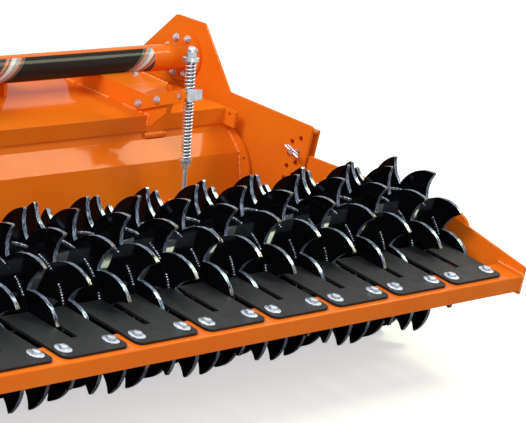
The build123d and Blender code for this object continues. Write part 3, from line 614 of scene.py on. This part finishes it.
@dataclass
class WeldBead:
    """A fillet weld: a chain of squashed blobs that overlap like ripples."""

    radius: float = 5.0
    pitch: float = 6.0

    def run(self, mesh: bmesh.types.BMesh, start: Vector, end: Vector) -> None:
        """Lays a straight bead between two places in the frame."""
        line = end - start
        count = max(2, round(line.length / (self.pitch * MM)))
        turn = line.normalized().to_track_quat("X", "Z").to_matrix().to_4x4()
        for step in range(count + 1):
            lump = 1.0 + 0.16 * math.sin(step * 2.4)
            place = Matrix.Translation(start + line * step / count) @ turn @ Matrix.Diagonal((1.0, lump, lump, 1.0))
            bmesh.ops.create_icosphere(mesh, subdivisions=1, radius=self.radius * MM, matrix=place)

    def path(self, mesh: bmesh.types.BMesh, points: Sequence[tuple[float, float, float]]) -> None:
        """Lays a bead through several places given in millimetres from the datum."""
        placed = [Datum.point(*point) for point in points]
        for start, end in zip(placed, placed[1:]):
            self.run(mesh, start, end)


# ---------------------------------------------------------------- roller and its frame
@dataclass
class SpikedRoller:
    """The drum's toothed discs: their stitch welds."""

    disc_count: int = 17
    disc_pitch: float = 147.0
    disc_thick: float = 15.0
    drum_radius: float = 177.8
    teeth: int = 11
    first_clock: float = 8.0
    clock_share: float = 0.4
    bead_radius: float = 5.0
    beads: int = 8

    def disc_x(self, index: int) -> float:
        """Where a disc stands across the machine, counted from the right."""
        return self.disc_pitch * ((self.disc_count - 1) / 2 - index)

    def build(self) -> None:
        """Lays a short lumpy weld under every tooth, alternating between the two faces of a disc."""
        mesh = bmesh.new()
        axle = Vector(joint("roller_turn")["pos_m"])
        pitch = 360.0 / self.teeth
        for index in range(self.disc_count):
            for tooth in range(self.teeth):
                for side in (-1, 1):
                    turn = math.radians(self.first_clock + pitch * (self.clock_share * index + tooth) + 9.0 * side)
                    offset = self.disc_x(index) + side * (self.disc_thick / 2 + 1.5)
                    centre = Vector((Datum.point(offset, 0, 0).x, axle.y, axle.z))
                    self.stitch(mesh, centre, turn)
        finished("roller_weld_beads", mesh, Palette.DARK_WELD.material(), "spiked_roller", 80.0)

    def stitch(self, mesh: bmesh.types.BMesh, centre: Vector, start: float) -> None:
        """One stitch of overlapping blobs along the drum's surface."""
        for bead in range(self.beads):
            angle = start + bead * 7.5 / self.drum_radius
            out = Vector((0.0, -math.cos(angle), math.sin(angle)))
            place = facing(out, centre + out * (self.drum_radius + 1.5) * MM) @ Matrix.Diagonal((0.9, 0.8, 0.8, 1.0))
            bmesh.ops.create_icosphere(mesh, subdivisions=1, radius=self.bead_radius * MM, matrix=place)


@dataclass
class RollerFrame:
    """The bar behind the roller and its end plates: their bolts and welds."""

    bolt_offset: float = 94.0
    bolt_along: float = 60.0
    bar_rear: tuple[float, float] = (-1480.0, 276.0)
    bar_tilt: float = 4.0
    seat_height: float = 63.0
    bearing: tuple[float, float] = (-1046.0, 280.0)
    bearing_face: float = 1239.0
    bearing_pitch: float = 54.0
    arm_face: float = 1277.0
    arm_bolts: tuple[tuple[float, float], ...] = (
        (-950.0, 385.0), (-950.0, 350.0), (-1140.0, 393.0), (-1140.0, 360.0))
    weld_x: float = 1253.0
    scraper: HexBolt = field(default_factory=lambda: HexBolt(25.0, 3.0, 13.0, 8.0))
    flange: HexBolt = field(default_factory=lambda: HexBolt(12.0, 2.5, 10.0, 8.0))
    joining: HexBolt = field(default_factory=lambda: HexBolt(17.0, 3.0, 14.0, 11.0))

    def build(self) -> None:
        """Adds the scrapers' bolts, the bearings' bolts, the arms' bolts and the end welds."""
        self.scraper_bolts()
        others = Fasteners("roller_frame")
        for _, sign in sides():
            inward, outward = (Axis.LEFT, Axis.RIGHT) if sign > 0 else (Axis.RIGHT, Axis.LEFT)
            others.ring(self.flange, sign * self.bearing_face, self.bearing, self.bearing_pitch, 4, 45.0, inward)
            for y, z in self.arm_bolts:
                others.one(self.joining, (sign * self.arm_face, y, z), outward)
        others.done("roller_frame_bolts", Palette.ZINC)
        welds = bmesh.new()
        for _, sign in sides():
            x = sign * self.weld_x
            WeldBead(6.0, 7.0).path(welds, [(x, -1478.0, 334.0), (x, -1385.0, 341.0)])
            WeldBead(5.0, 7.0).path(welds, [(x, -1481.0, 282.0), (x, -1483.0, 328.0)])
        finished("roller_frame_welds", welds, Palette.WELD.material(), "roller_frame", 80.0)

    def scraper_bolts(self) -> None:
        """Two bolts through each scraper plate, square to the tilted bar."""
        bolts = Fasteners("roller_frame")
        roller = SpikedRoller()
        tilt = math.radians(self.bar_tilt)
        up = Vector((0.0, -math.sin(tilt), math.cos(tilt)))
        y = self.bar_rear[0] + self.bolt_along * math.cos(tilt) - self.seat_height * math.sin(tilt)
        z = self.bar_rear[1] + self.bolt_along * math.sin(tilt) + self.seat_height * math.cos(tilt)
        for index in range(1, roller.disc_count, 2):
            for offset in (-self.bolt_offset, self.bolt_offset):
                bolts.one(self.scraper, (roller.disc_x(index) + offset, y, z), up)
        bolts.done("scraper_bolts", Palette.ZINC)


# ---------------------------------------------------------------- springs
@dataclass
class CoilSpring:
    """A compression spring on a rod, wound between two seats."""

    name: str
    node: str
    turns: float
    outer: float
    wire: float
    seat_near: Vector
    seat_far: Vector
    trunnion_body: str
    rod_body: str
    steps_per_turn: int = 20

    def build(self) -> None:
        """Winds the wire by a screw sweep, with its ends capped."""
        line = self.seat_far - self.seat_near
        length = line.length
        mean = (self.outer - self.wire) / 2 * MM
        half = self.wire / 2 * MM
        mesh = bmesh.new()
        start = Matrix.Translation((mean, 0.0, 0.0)) @ Matrix.Rotation(math.pi / 2, 4, "X")
        ring = bmesh.ops.create_circle(mesh, cap_ends=False, segments=8, radius=half, matrix=start)
        geometry = ring["verts"] + list({edge for vert in ring["verts"] for edge in vert.link_edges})
        steps = int(self.turns * self.steps_per_turn)
        climb = (length - 2 * half) / steps
        bmesh.ops.spin(mesh, geom=geometry, cent=(0.0, 0.0, 0.0), axis=(0.0, 0.0, 1.0),
                       dvec=(0.0, 0.0, climb), angle=self.turns * 2 * math.pi, steps=steps, use_merge=False)
        bmesh.ops.holes_fill(mesh, edges=[edge for edge in mesh.edges if edge.is_boundary], sides=0)
        bmesh.ops.translate(mesh, vec=(0.0, 0.0, half), verts=mesh.verts[:])
        bmesh.ops.transform(mesh, matrix=facing(line, self.seat_near), verts=mesh.verts[:])
        piece = finished(self.name, mesh, Palette.ZINC.material(), None, 60.0)
        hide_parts(self.node)
        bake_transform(piece)


@dataclass
class SpringRod:
    """The rod that presses the trailing board down: its two springs, its arm's bolts and its lug pin's nuts."""

    rod_x: float = 840.0
    trunnion: tuple[float, float] = (-374.0, 570.0)
    upper: tuple[float, float] = (21.3, 107.7)
    lower: tuple[float, float] = (-21.3, -202.7)
    wire: float = 6.0
    outer: float = 35.0
    arm_face: float = 792.0
    arm_bolts: tuple[tuple[float, float], ...] = ((-219.0, 491.7), (-290.0, 528.0))
    lug_pin: tuple[float, float] = (-455.0, 182.0)
    lug_reach: float = 26.0
    arm_bolt: HexBolt = field(default_factory=lambda: HexBolt(13.0, 2.0, 11.0, 8.0, 6.5, 4.0))
    end_nut: HexBolt = field(default_factory=lambda: HexBolt(15.0, 2.5, 11.0, 8.0, 6.0, 5.0))

    def build(self) -> None:
        """Winds the springs of both sides and adds the pins' end fasteners."""
        pins = Fasteners("main_frame")
        eyes = Fasteners("trailing_board")
        for side, sign in sides():
            outward, inward = (Axis.RIGHT, Axis.LEFT) if sign > 0 else (Axis.LEFT, Axis.RIGHT)
            centre = Datum.point(sign * self.rod_x, *self.trunnion)
            up = Vector(joint(f"rod_slide_{side}")["axis"]).normalized()
            bodies = (f"trunnion_{side}", f"spring_rod_{side}")
            for name, (near, far), turns in (("upper_spring", self.upper, 7.0), ("lower_spring", self.lower, 16.5)):
                CoilSpring(f"{name}_coil_{side}", f"{name}_{side}", turns, self.outer, self.wire,
                           centre + up * near * MM, centre + up * far * MM, *bodies).build()
            for y, z in self.arm_bolts:
                pins.one(self.arm_bolt, (sign * self.arm_face, y, z), inward)
            eyes.one(self.end_nut, (sign * (self.rod_x + self.lug_reach), *self.lug_pin), outward)
            eyes.one(self.end_nut, (sign * (self.rod_x - self.lug_reach), *self.lug_pin), inward)
        pins.done("rod_arm_bolts", Palette.ZINC)
        eyes.done("lug_pin_nuts", Palette.ZINC)


# ---------------------------------------------------------------- frame, hood and board
@dataclass
class MainFrame:
    """The welded body of the machine: its bolts, its weld beads and the linch pins of the arms' stops."""

    tube: tuple[float, float] = (0.0, Datum.TUBE_HEIGHT)
    outer_flange: float = 1238.0
    inner_flange: float = 137.0
    flange_pitch: float = 64.0
    side_face: float = 1260.0
    spacers: tuple[tuple[float, float], ...] = ((-60.0, 440.0), (90.0, 440.0), (222.0, 342.0))
    skid_top: float = 12.0
    flange: HexBolt = field(default_factory=lambda: HexBolt(13.0, 2.0, 11.0, 8.0, 6.0, 6.0))
    small: HexBolt = field(default_factory=lambda: HexBolt(11.0, 2.0, 8.5, 6.0))
    large: HexBolt = field(default_factory=lambda: HexBolt(16.0, 3.0, 13.0, 9.0))

    def build(self) -> None:
        """Adds everything that is fixed to the main frame outside the gear cases."""
        self.bolts()
        self.welds()
        self.linch_pins()

    def bolts(self) -> None:
        """The flanges', spacers', skids' and brackets' bolts."""
        bolts = Fasteners("main_frame")
        for _, sign in sides():
            outward, inward = (Axis.RIGHT, Axis.LEFT) if sign > 0 else (Axis.LEFT, Axis.RIGHT)
            for face, way in ((self.outer_flange, inward), (self.inner_flange, outward)):
                bolts.ring(self.flange, sign * face, self.tube, self.flange_pitch, 8, 13.5, way)
            for y, z in self.spacers:
                bolts.one(self.large, (sign * self.side_face, y, z), outward)
            for y in (-240.0, 120.0):
                bolts.one(self.small, (sign * 1245.0, y, self.skid_top), Axis.UP)
            bolts.one(self.small, (sign * 946.0, -60.0, 527.0), Axis.UP)
        bolts.done("frame_bolts", Palette.ZINC)

    def welds(self) -> None:
        """The beads that join the brackets to the hood, and the hitch and mast plates to the tube."""
        mesh = bmesh.new()
        bead = WeldBead(5.0, 6.5)
        for _, sign in sides():
            for y_from, y_to in ((105.0, 67.0), (45.0, -86.0), (-154.0, -232.0), (-250.0, -264.0)):
                bead.path(mesh, [(sign * 800.0, y_from, 467.0), (sign * 800.0, y_to, 467.0)])
            bead.path(mesh, [(sign * 800.0, -265.0, 463.0), (sign * 800.0, -265.0, 433.0)])
            bead.path(mesh, [(sign * 990.0, -52.0, 527.5), (sign * 990.0, -160.0, 527.5)])
            bead.path(mesh, [(sign * 994.0, -180.0, 466.0), (sign * 994.0, 56.0, 466.0)])
        finished("frame_welds", mesh, Palette.WELD.material(), "main_frame", 80.0)
        board = bmesh.new()
        for _, sign in sides():
            WeldBead(5.5, 6.5).path(board, [(sign * 1230.0, -270.0, 385.0), (sign * 1230.0, -330.0, 333.0)])
            WeldBead(4.5, 6.5).path(board, [(sign * 1230.0, -336.0, 318.0), (sign * 1230.0, -376.0, 205.0)])
            for x in (812.0, 868.0):
                WeldBead(4.0, 6.0).path(board, [(sign * x, -372.0, 213.0), (sign * x, -400.0, 134.0)])
        finished("board_welds", board, Palette.WELD.material(), "trailing_board", 80.0)

    def linch_pins(self) -> None:
        """A locking bar with its sprung wire through the inner end of each stop pin."""
        mesh = bmesh.new()
        way = Vector((0.0, -0.94, -0.34))
        for side, sign in sides():
            low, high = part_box(f"stop_pin_{side}")
            inner = low[0] if sign > 0 else high[0]
            at = Vector((inner + sign * 8.0 * MM, (low[1] + high[1]) / 2, (low[2] + high[2]) / 2))
            lift = Vector((0.0, -way.z, way.y)) * -9.0 * MM
            for centre, radius, length in ((at, 4.0, 64.0), (at + lift, 2.2, 50.0)):
                bmesh.ops.create_cone(mesh, cap_ends=True, segments=12, radius1=radius * MM, radius2=radius * MM,
                                      depth=length * MM, matrix=facing(way, centre))
            for end in (-25.0, 25.0):
                place = facing(lift, at + lift / 2 + way * end * MM)
                bmesh.ops.create_cone(mesh, cap_ends=True, segments=8, radius1=2.2 * MM, radius2=2.2 * MM,
                                      depth=11.0 * MM, matrix=place)
        finished("linch_pins", mesh, Palette.ZINC.material(), "main_frame", 60.0)


# ---------------------------------------------------------------- gear cases and rotor
@dataclass
class GearCases:
    """The centre gearbox, the side case and the right bearing housing: their bolts and plugs."""

    cover: HexBolt = field(default_factory=lambda: HexBolt(10.0, 2.0, 8.5, 7.0))
    foot: HexBolt = field(default_factory=lambda: HexBolt(15.0, 2.5, 13.0, 10.0, 8.0, 6.0))
    breather: HexBolt = field(default_factory=lambda: HexBolt(13.0, 3.0, 11.0, 14.0, 7.0, 8.0))
    cover_top: float = 706.0
    foot_top: float = 479.0
    rotor_axis: tuple[float, float] = (0.0, Datum.ROTOR_HEIGHT)
    tube_axis: tuple[float, float] = (0.0, Datum.TUBE_HEIGHT)
    case_face: float = -1352.0

    def build(self) -> None:
        """Adds the three cases' fasteners."""
        bolts = Fasteners("main_frame")
        for x in (-82.0, 0.0, 82.0):
            for y in (-107.0, 107.0):
                bolts.one(self.cover, (x, y, self.cover_top), Axis.UP)
        for x in (-82.0, 82.0):
            for y in (-36.0, 36.0):
                bolts.one(self.cover, (x, y, self.cover_top), Axis.UP)
        bolts.one(self.breather, (0.0, 0.0, self.cover_top), Axis.UP)
        for x in (-108.0, 108.0):
            for y in (-156.0, 156.0):
                bolts.one(self.foot, (x, y, self.foot_top), Axis.UP)
        for step in range(6):
            angle = math.radians(30.0 + 60.0 * step)
            bolts.one(self.cover, (61.0 * math.cos(angle), 185.0, 600.0 + 61.0 * math.sin(angle)), Axis.FRONT)
            bolts.one(self.cover, (72.0 * math.cos(angle), -172.0, 570.0 + 72.0 * math.sin(angle)), Axis.REAR)
        bolts.ring(self.foot, 1276.0, self.rotor_axis, 75.0, 6, 30.0, Axis.RIGHT)
        self.side_case(bolts)
        bolts.done("gear_case_bolts", Palette.ZINC)

    def side_case(self, bolts: Fasteners) -> None:
        """The bolts around the side case's rim and on its two bosses."""
        rim = -1272.0
        for z, radius, first, last in ((226.0, 124.0, 190.0, 350.0), (556.0, 109.0, 10.0, 170.0)):
            for step in range(5):
                angle = math.radians(first + (last - first) * step / 4)
                bolts.one(self.cover, (rim, radius * math.cos(angle), z + radius * math.sin(angle)), Axis.LEFT)
        for share in (0.15, 0.38, 0.62, 0.85):
            width = 124.0 + (109.0 - 124.0) * share
            for y in (-width, width):
                bolts.one(self.cover, (rim, y, 226.0 + 330.0 * share), Axis.LEFT)
        bolts.ring(self.cover, self.case_face, self.rotor_axis, 52.0, 6, 0.0, Axis.LEFT)
        bolts.ring(self.cover, self.case_face, self.tube_axis, 42.0, 6, 0.0, Axis.LEFT)


@dataclass
class Rotor:
    """The bladed rotor: two bolts through each blade's shank."""

    half: float = 1215.0
    flanges: int = 11
    end_inset: float = 115.0
    turn: float = 22.0
    axis: tuple[float, float] = (0.0, 226.0)
    bolt: HexBolt = field(default_factory=lambda: HexBolt(0.0, 0.0, 10.0, 9.0))

    def build(self) -> None:
        """Adds the bolts, heads on the flange's free face and nuts on the blades."""
        bolts = Fasteners("rotor")
        first = self.end_inset - self.half
        pitch = -2 * first / (self.flanges - 1)
        for index in range(self.flanges):
            for blade in range(6):
                angle = math.radians(blade * 60 + index * self.turn)
                side = 1 if blade % 2 else -1
                self.blade_bolts(bolts, first + pitch * index, angle, side)
        bolts.done("blade_bolts", Palette.ZINC)

    def blade_bolts(self, bolts: Fasteners, x: float, angle: float, side: int) -> None:
        """The two bolts of one blade."""
        across = (math.cos(angle), math.sin(angle))
        up = (-math.sin(angle), math.cos(angle))
        for offset in (-17.0, 17.0):
            y = self.axis[0] + up[0] * 84.0 + across[0] * offset
            z = self.axis[1] + up[1] * 84.0 + across[1] * offset
            for face, way in ((5.0 + 8.0, side), (5.0, -side)):
                bolts.one(self.bolt, (x + way * face, y, z), Axis.RIGHT if way > 0 else Axis.LEFT, 0.0)


# ---------------------------------------------------------------- studio
@dataclass(frozen=True)
class SoftBox:
    """A square area lamp that looks at a place on the machine."""

    name: str
    target: tuple[float, float, float]
    direction: tuple[float, float, float]
    distance: float
    size: float
    watts: float
    tint: tuple[float, float, float] = (1.0, 1.0, 1.0)

    def hang(self) -> None:
        """Puts the lamp up."""
        data = bpy.data.lights.new(self.name, "AREA")
        data.shape = "SQUARE"
        data.size = self.size
        data.energy = self.watts
        data.color = self.tint
        lamp = bpy.data.objects.new(self.name, data)
        bpy.context.scene.collection.objects.link(lamp)
        away = Vector(self.direction).normalized()
        lamp.matrix_world = facing(away, Datum.point(*self.target) + away * self.distance)


@dataclass
class Studio:
    """The plain pale floor, the soft light and the camera."""

    camera_mm: tuple[float, float, float] = (-6743.7, -6137.4, 3026.8)
    right: tuple[float, float, float] = (0.61554, -0.75676, 0.22004)
    up: tuple[float, float, float] = (0.08954, 0.34455, 0.93449)
    view: tuple[float, float, float] = (0.78300, 0.55551, -0.27984)
    lens: float = 212.2
    floor_half: float = 30.0
    sky: float = 0.42
    boxes: tuple[SoftBox, ...] = (
        SoftBox("key", (300.0, -500.0, 350.0), (-0.72, 0.10, 0.68), 7.0, 2.6, 305.0),
        SoftBox("fill", (300.0, -800.0, 350.0), (-0.50, -0.78, 0.38), 8.0, 4.0, 165.0),
        SoftBox("board_light", (-100.0, -300.0, 360.0), (0.783, -0.217, 0.583), 6.0, 1.5, 130.0, (0.9, 0.97, 0.68)),
    )

    def build(self) -> None:
        """Sets up everything that isn't the machine."""
        self.camera()
        self.floor()
        self.world()
        for box in self.boxes:
            box.hang()
        bpy.context.scene.view_settings.view_transform = "Standard"

    def camera(self) -> None:
        """Places the camera."""
        data = bpy.data.cameras.new("camera")
        data.lens = self.lens
        data.sensor_width = 36.0
        data.clip_end = 200.0
        eye = bpy.data.objects.new("camera", data)
        bpy.context.scene.collection.objects.link(eye)
        axes = Matrix((self.right, self.up, [-v for v in self.view])).transposed().to_4x4()
        eye.matrix_world = Matrix.Translation(Datum.point(*self.camera_mm)) @ axes
        bpy.context.scene.camera = eye

    def floor(self) -> None:
        """Lays a pale floor that keeps the shadow and reads white to the camera."""
        mesh = bmesh.new()
        bmesh.ops.create_grid(mesh, x_segments=1, y_segments=1, size=self.floor_half)
        data = bpy.data.meshes.new("floor")
        mesh.to_mesh(data)
        mesh.free()
        floor = bpy.data.objects.new("floor", data)
        bpy.context.scene.collection.objects.link(floor)
        made = bpy.data.materials.new("pale_floor")
        made.use_nodes = True
        tree = made.node_tree
        tree.nodes.clear()
        matt = add_node(tree, "ShaderNodeBsdfDiffuse", values={"Color": grey(0.5)})
        bright = add_node(tree, "ShaderNodeBsdfDiffuse", values={"Color": grey(0.85)})
        glow = add_node(tree, "ShaderNodeEmission", values={"Color": grey(1.0), "Strength": 0.5})
        path = add_node(tree, "ShaderNodeLightPath")
        both = add_node(tree, "ShaderNodeAddShader", {0: bright.outputs[0], 1: glow.outputs[0]})
        mix = add_node(tree, "ShaderNodeMixShader",
                       {0: path.outputs["Is Camera Ray"], 1: matt.outputs[0], 2: both.outputs[0]})
        add_node(tree, "ShaderNodeOutputMaterial", {"Surface": mix.outputs[0]})
        data.materials.append(made)

    def world(self) -> None:
        """A soft pale sky, white to the camera, in mirrors and through glass."""
        world = bpy.data.worlds.new("studio")
        bpy.context.scene.world = world
        world.use_nodes = True
        tree = world.node_tree
        tree.nodes.clear()
        path = add_node(tree, "ShaderNodeLightPath").outputs
        seen = math_node(tree, "ADD", path["Is Camera Ray"], path["Is Glossy Ray"])
        any_seen = math_node(tree, "MINIMUM", math_node(tree, "ADD", seen, path["Is Transmission Ray"]), 1.0)
        strength = add_node(tree, "ShaderNodeMapRange", {"Value": any_seen}, {"To Min": self.sky, "To Max": 1.0})
        sky = add_node(tree, "ShaderNodeBackground", {"Strength": strength.outputs["Result"]}, {"Color": grey(1.0)})
        add_node(tree, "ShaderNodeOutputWorld", {"Surface": sky.outputs[0]})


# ---------------------------------------------------------------- the whole machine
def main() -> None:
    """Dresses the frame and adds the small parts and the studio."""
    logging.basicConfig(level=logging.INFO, format="%(name)s: %(message)s")
    Studio().build()
    dress_nodes()
    for part in (SpikedRoller(), RollerFrame(), SpringRod(), MainFrame(), GearCases(), Rotor()):
        part.build()
        LOG.info("%s built", type(part).__name__)


if __name__ == "__main__":
    main()
